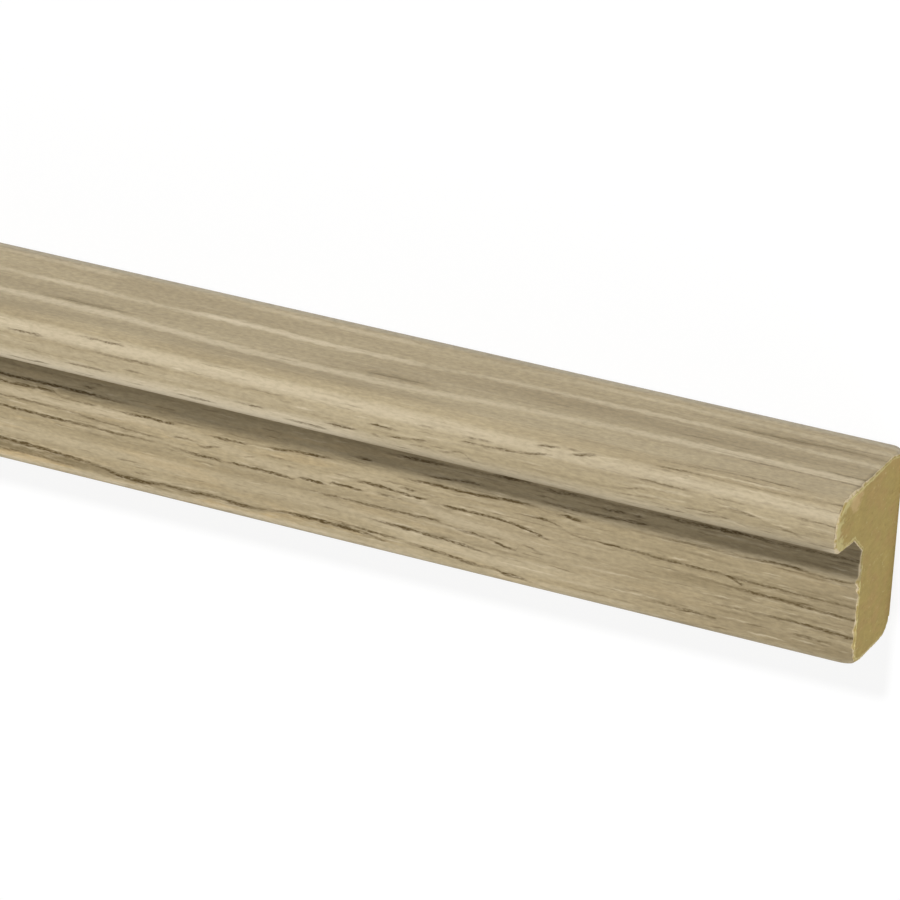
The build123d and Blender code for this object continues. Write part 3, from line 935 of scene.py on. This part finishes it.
def wear_at(around, distance):
    """How far the face is worn in at a distance from an end."""
    total = np.zeros(len(around))
    for middle, half, depth, reach in WORN_CORNERS:
        left = max(0, 1 - distance / (reach * MM))
        total += depth * MM * (1 - math.sqrt(1 - left ** 2)) * np.exp(-((around / MM - middle) / half) ** 2)
    return total


def stock_rings():
    """Ring places along the stock: (end that shapes it or None, metres from that end, plain x)."""
    low, high = FOIL_LOW.x, FOIL_HIGH.x
    plain = BAKE_ROWS * RINGS_PER_ROW
    rings = [(0, d, low + d) for d in END_RINGS]
    rings += [(None, 0, low + (high - low) * i / plain) for i in range(1, plain)]
    rings += [(1, d, high - d) for d in reversed(END_RINGS)]
    return rings


def ring_points(outline, around, ring, recess, inward, thickness):
    """Points of one ring: the outline worn at its end, drawn back by a recess, stepped in by a thickness."""
    end, distance, x = ring
    shrink = wear_at(around, distance) if end is not None else 0
    flat = outline + inward * np.reshape(thickness + shrink, (-1, 1))
    flat[:, 1] = np.maximum(flat[:, 1], 0)
    along = np.full(len(outline), x)
    if end is not None:
        keep = max(0, 1 - distance / END_RINGS[-1])
        along = along + recess[end] * keep * (1 if end == 0 else -1)
    return np.column_stack([along, flat])


class Skin:
    """Gathers the faces of a piece, their places in the bake map and their material slots."""

    def __init__(self):
        self.faces, self.spots, self.slots = [], [], []

    def add(self, corners, spots, slot=0, turned=False):
        step = -1 if turned else 1
        self.faces.append(tuple(corners)[::step])
        self.spots.extend(spots[::step])
        self.slots.append(slot)


def bake_row(ring, following):
    """Row of the bake map that two rings lie in, and how far along it each of them is."""
    part = (FOIL_HIGH.x - FOIL_LOW.x) / BAKE_ROWS
    middle = (ring[2] + following[2]) / 2
    row = min(BAKE_ROWS - 1, int((middle - FOIL_LOW.x) / part))
    start, width = BAKE_LENGTH
    return row, [start + width * (x - FOIL_LOW.x - part * row) / part for x in (ring[2], following[2])]


def bake_band(band, row, shares):
    """Places across a band of the bake map, in a row of it."""
    start, step, height = band
    return [start + step * row + height * share for share in shares]


def patch(us, vs):
    """Corners of a patch of the bake map, in the order of a face between two rings."""
    return [(us[0], vs[0]), (us[0], vs[1]), (us[1], vs[1]), (us[1], vs[0])]


def mesh_piece(name, points, skin, attributes, materials, crease):
    """A mesh object from points and a skin of faces, with its named values and its materials."""
    mesh = bpy.data.meshes.new(name)
    mesh.from_pydata([tuple(p) for p in points], [], skin.faces)
    mesh.uv_layers.new(name="OFBake").data.foreach_set("uv", np.array(skin.spots, np.float32).ravel())
    for label, values in attributes.items():
        mesh.attributes.new(label, "FLOAT", "POINT").data.foreach_set("value", np.array(values, np.float32))
    for material in materials:
        mesh.materials.append(material)
    mesh.polygons.foreach_set("material_index", skin.slots)
    mesh.polygons.foreach_set("use_smooth", [True] * len(skin.faces))
    mesh.set_sharp_from_angle(angle=math.radians(crease))
    mesh.update()
    if mesh.validate():
        raise RuntimeError(f"{name} has faulty faces")
    piece = bpy.data.objects.new(name, mesh)
    bpy.context.scene.collection.objects.link(piece)
    return piece


def core_sides(skin, rings, side):
    """Faces of the core between its rings: the glued sides, then the raw back."""
    count = side + BACK_POINTS
    for i, (ring, following) in enumerate(zip(rings, rings[1:])):
        row, us = bake_row(ring, following)
        for j in range(count):
            k = (j + 1) % count
            if side <= j < count - 1:
                shares = [(spot - side) / (BACK_POINTS - 1) for spot in (j, j + 1)]
                vs = bake_band(CORE_BACK_BAND, row, shares)
            else:
                vs = bake_band(CORE_SIDE_BAND, row, [min(spot, side) / side for spot in (j, j + 1)])
            near, far = i * count, (i + 1) * count
            skin.add((near + j, near + k, far + k, far + j), patch(us, vs))


def gaps_to_rim(grid, rim):
    """Distance of each grid point from each edge of the rim, and which points lie inside it."""
    following = np.roll(rim, -1, axis=0)
    edge = following - rim
    off = grid[:, None] - rim
    share = np.clip((off * edge).sum(-1) / np.maximum((edge ** 2).sum(-1), NO_LENGTH), 0, 1)
    gaps = np.hypot(*np.moveaxis(off - share[..., None] * edge, -1, 0))
    crosses = (rim[:, 1] > grid[:, None, 1]) != (following[:, 1] > grid[:, None, 1])
    at = rim[:, 0] + off[..., 1] * edge[:, 0] / np.where(edge[:, 1] == 0, 1, edge[:, 1])
    return gaps, (crosses & (grid[:, None, 0] < at)).sum(1) % 2 == 1


def sawn_end(skin, points, around, end, first):
    """Close an end of the core with a jittered grid of fibres, sunk a little by the saw.

    Gives the points with those of the grid added, and how deep each of these lies in the board's pale skin.
    """
    side = len(around)
    count = side + BACK_POINTS
    facing = 1 if end else -1
    end_x, rim = points[first, 0], points[first:first + count, 1:]
    rng = np.random.default_rng(END_SEED + end)
    across = np.arange(rim[:, 0].min(), rim[:, 0].max(), END_GRID * MM)
    upward = np.arange(0, rim[:, 1].max(), END_GRID * MM)
    grid = np.stack(np.meshgrid(across, upward), -1).reshape(-1, 2)
    grid = grid + rng.uniform(-END_JITTER * MM, END_JITTER * MM, grid.shape)
    gaps, inside = gaps_to_rim(grid, rim)
    keep = inside & (gaps.min(1) > RIM_CLEARANCE * MM)
    reach = np.full(count, BACK_SKIN)
    reach[:side] = np.interp(around / MM, *np.array(SKIN_REACH).T)
    grid, depths = grid[keep], (gaps / reach).min(1)[keep]

    flat = [Vector(p) for p in np.vstack([rim, grid]) * MM_PER_M]
    loop = [(j, (j + 1) % count) for j in range(count)]
    placed, _, triangles, origin, _, _ = delaunay_2d_cdt(flat, loop, [], INSIDE_ONLY, MERGE_WITHIN)
    if len(placed) != len(flat):
        raise RuntimeError("the sawn end's outline crosses itself")
    base = len(points)
    sunk = rng.random(len(grid)) * FIBRE_SINK * MM
    points = np.vstack([points, np.column_stack([end_x - facing * sunk, grid])])
    where = [first + o[0] if o[0] < count else base + o[0] - count for o in origin]
    start, tile, step = CORE_END_TILE
    for triangle in triangles:
        corners = [where[t] for t in triangle]
        a, b, c = points[corners, 1:]
        turn = (b[0] - a[0]) * (c[1] - a[1]) - (b[1] - a[1]) * (c[0] - a[0])
        shares = [((y - FOIL_LOW.y) / (FOIL_HIGH.y - FOIL_LOW.y), z / FOIL_HIGH.z) for y, z in (a, b, c)]
        spots = [(start + step * end + tile * u, start + tile * v) for u, v in shares]
        skin.add(corners, spots, turned=turn * facing < 0)
    return points, depths


def foil_skin(rings, around):
    """Faces of the foil: its printed face, its inner side, its two long edges and its broken ends."""
    skin = Skin()
    count = len(around)
    under = len(rings) * count
    shares = around / around[-1]
    for i, (ring, following) in enumerate(zip(rings, rings[1:])):
        row, us = bake_row(ring, following)
        for j in range(count - 1):
            a, d = i * count + j, (i + 1) * count + j
            corners = (a, a + 1, d + 1, d)
            skin.add(corners, patch(us, bake_band(FOIL_FACE_BAND, row, shares[j:j + 2])))
            inner_spots = patch(us, bake_band(FOIL_INNER_BAND, row, shares[j:j + 2]))
            skin.add([under + corner for corner in corners], inner_spots, 1, turned=True)
        for edge, band in zip((0, count - 1), FOIL_EDGE_BANDS):
            a, d = i * count + edge, (i + 1) * count + edge
            low, high = bake_band(band, row, (0, 1))
            spots = [(us[0], low), (us[1], low), (us[1], high), (us[0], high)]
            skin.add((a, d, under + d, under + a), spots, 1, turned=edge > 0)
    start, width = BAKE_LENGTH
    for ring, band in zip((0, len(rings) - 1), FOIL_END_BANDS):
        low, high = bake_band(band, 0, (0, 1))
        for j in range(count - 1):
            a = ring * count + j
            u0, u1 = start + width * shares[j:j + 2]
            spots = [(u1, high), (u0, high), (u0, low), (u1, low)]
            skin.add((a + 1, a, under + a, under + a + 1), spots, 1, turned=ring > 0)
    return skin


class TRIM_OT_mould_core(bpy.types.Operator):
    """Build the fibreboard core with its sawn ends and raw back"""

    bl_idname = "trim.mould_core"
    bl_label = "Mould Fibreboard Core"

    def execute(self, context):
        section = context.scene.trim_section
        outline, inward, around = face_outline(section)
        rings = stock_rings()
        points = []
        for ring in rings:
            face = ring_points(outline, around, ring, (0, 0), inward, section.foil_thickness)
            back = np.zeros((BACK_POINTS, 3))
            back[:, 0] = ring[2]
            back[:, 1] = np.linspace(face[-1, 1], face[0, 1], BACK_POINTS)
            points += [face, back]
        points = np.vstack(points)
        skin = Skin()
        core_sides(skin, rings, len(outline))
        depths = [np.zeros(len(points))]
        last_ring = len(points) - len(outline) - BACK_POINTS
        for end, first in enumerate((0, last_ring)):
            points, end_depths = sawn_end(skin, points, around, end, first)
            depths.append(end_depths)
        values = {"skin_depth": np.concatenate(depths)}
        materials = [fibreboard_material(context.scene.trim_finish, FOIL_HIGH.x / MM)]
        core = mesh_piece("fibreboard_core", points, skin, values, materials, CORE_CREASE)
        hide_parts("mdf_core")
        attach(core, "root")
        return {"FINISHED"}


class TRIM_OT_wrap_foil(bpy.types.Operator):
    """Wrap the printed foil over the core, with its edges broken by the saw"""

    bl_idname = "trim.wrap_foil"
    bl_label = "Wrap Decor Foil"

    def execute(self, context):
        section = context.scene.trim_section
        finish = context.scene.trim_finish
        outline, inward, around = face_outline(section)
        rings = stock_rings()
        shapes = [end_shape(around, chips, seed, section.edge_break) for chips, seed in END_TEARS]
        face_recess, inner_recess, bare = zip(*shapes)
        points = [ring_points(outline, around, ring, face_recess, inward, 0) for ring in rings]
        for ring in rings:
            points.append(ring_points(outline, around, ring, inner_recess, inward, section.foil_thickness))
        paper = [np.ones(len(rings) * len(around))]
        paper += [bare[0] if ring[2] < 0 else bare[1] for ring in rings]
        values = {"around": np.tile(around, 2 * len(rings)), "paper": np.concatenate(paper)}
        materials = [oak_foil_material(finish, FOIL_HIGH.x / MM), cut_foil_material(finish)]
        skin = foil_skin(rings, around)
        foil = mesh_piece("oak_foil_wrap", np.vstack(points), skin, values, materials, FOIL_CREASE)
        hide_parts("decor_foil")
        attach(foil, "root")
        return {"FINISHED"}


def studio_floor(stage):
    """A pale floor that the camera sees as white, but for the stock's shadow."""
    corners = [(x * FLOOR_HALF, y * FLOOR_HALF, 0) for x, y in ((-1, -1), (1, -1), (1, 1), (-1, 1))]
    mesh = bpy.data.meshes.new("studio_floor")
    mesh.from_pydata(corners, [], [(0, 1, 2, 3)])
    material = bpy.data.materials.new("studio_floor")
    b = cleared(material)
    rays = b.node("ShaderNodeLightPath").outputs
    seen = b.math("MAXIMUM", rays["Is Glossy Ray"], rays["Is Transmission Ray"])
    seen = b.math("MAXIMUM", rays["Is Camera Ray"], seen)
    plain = b.node("ShaderNodeBsdfDiffuse", {"Color": stage.floor_tone}).outputs[0]
    lit = b.node("ShaderNodeBsdfDiffuse", {"Color": WHITE}).outputs[0]
    glow = b.node("ShaderNodeEmission", {"Color": WHITE, "Strength": 1}).outputs[0]
    shown = b.mix_shaders(FLOOR_GLOW, lit, glow)
    b.node("ShaderNodeOutputMaterial", {"Surface": b.mix_shaders(seen, plain, shown)})
    mesh.materials.append(material)
    floor = bpy.data.objects.new("studio_floor", mesh)
    floor.location.z = -FLOOR_DROP
    return floor


def studio_world(stage):
    """Soft light from all round with more from the flange's side, and white where the camera sees the sky."""
    world = bpy.data.worlds.new("studio_white")
    b = cleared(world)
    rays = b.node("ShaderNodeLightPath").outputs
    seen = b.math("MAXIMUM", rays["Is Camera Ray"], rays["Is Transmission Ray"])
    looks = b.node("ShaderNodeTexCoord").outputs["Generated"]
    aim = b.node("ShaderNodeVectorMath", {0: looks, 1: SIDE_FROM}, operation="DOT_PRODUCT").outputs["Value"]
    side = b.math("POWER", b.math("MAXIMUM", aim, 0), SIDE_FOCUS)
    level = b.ramp(side, stage.side_strength, stage.fill_strength)
    fill = b.node("ShaderNodeBackground", {"Color": WHITE, "Strength": level}).outputs[0]
    white = b.node("ShaderNodeBackground", {"Color": WHITE, "Strength": 1}).outputs[0]
    b.node("ShaderNodeOutputWorld", {"Surface": b.mix_shaders(seen, fill, white)})
    return world


class TRIM_OT_set_stage(bpy.types.Operator):
    """Set the pale floor, the studio light and the camera"""

    bl_idname = "trim.set_stage"
    bl_label = "Set Studio Stage"

    def execute(self, context):
        scene = context.scene
        stage = scene.trim_stage
        scene.view_settings.view_transform = "Standard"
        floor = studio_floor(stage)
        scene.collection.objects.link(floor)
        scene.world = studio_world(stage)

        key = bpy.data.objects.new("studio_key", bpy.data.lights.new("studio_key", "SUN"))
        key.data.energy = stage.key_strength
        key.data.angle = stage.key_angle
        key.rotation_euler = Vector(KEY_FROM).to_track_quat("Z", "Y").to_euler()
        scene.collection.objects.link(key)

        camera = bpy.data.objects.new("photo_camera", bpy.data.cameras.new("photo_camera"))
        camera.data.sensor_width = SENSOR_WIDTH
        camera.data.lens = stage.lens
        camera.data.clip_end = VIEW_END
        turn = Matrix((CAMERA_RIGHT, -CAMERA_DOWN, -CAMERA_AHEAD)).transposed()
        camera.matrix_world = Matrix.Translation(CAMERA_PLACE) @ turn.to_4x4()
        scene.collection.objects.link(camera)
        scene.camera = camera
        return {"FINISHED"}


class TRIM_PT_profile(bpy.types.Panel):
    """Sizes, finishes and build steps of the panel end profile"""

    bl_label = "Panel End Profile"
    bl_idname = "TRIM_PT_profile"
    bl_space_type = "VIEW_3D"
    bl_region_type = "UI"
    bl_category = "Trim"

    def draw(self, context):
        layout = self.layout
        for settings in (context.scene.trim_section, context.scene.trim_finish, context.scene.trim_stage):
            box = layout.box()
            for name in settings.__annotations__:
                box.prop(settings, name)
        for operator in (TRIM_OT_set_stage, TRIM_OT_mould_core, TRIM_OT_wrap_foil):
            layout.operator(operator.bl_idname)


CLASSES = (
    TrimSection,
    TrimFinish,
    TrimStage,
    TRIM_OT_mould_core,
    TRIM_OT_wrap_foil,
    TRIM_OT_set_stage,
    TRIM_PT_profile,
)


def register():
    for cls in CLASSES:
        bpy.utils.register_class(cls)
    bpy.types.Scene.trim_section = bpy.props.PointerProperty(type=TrimSection)
    bpy.types.Scene.trim_finish = bpy.props.PointerProperty(type=TrimFinish)
    bpy.types.Scene.trim_stage = bpy.props.PointerProperty(type=TrimStage)


def unregister():
    del bpy.types.Scene.trim_stage
    del bpy.types.Scene.trim_finish
    del bpy.types.Scene.trim_section
    for cls in reversed(CLASSES):
        bpy.utils.unregister_class(cls)


def main():
    register()
    bpy.ops.trim.set_stage()
    bpy.ops.trim.mould_core()
    bpy.ops.trim.wrap_foil()


if __name__ == "__main__":
    main()
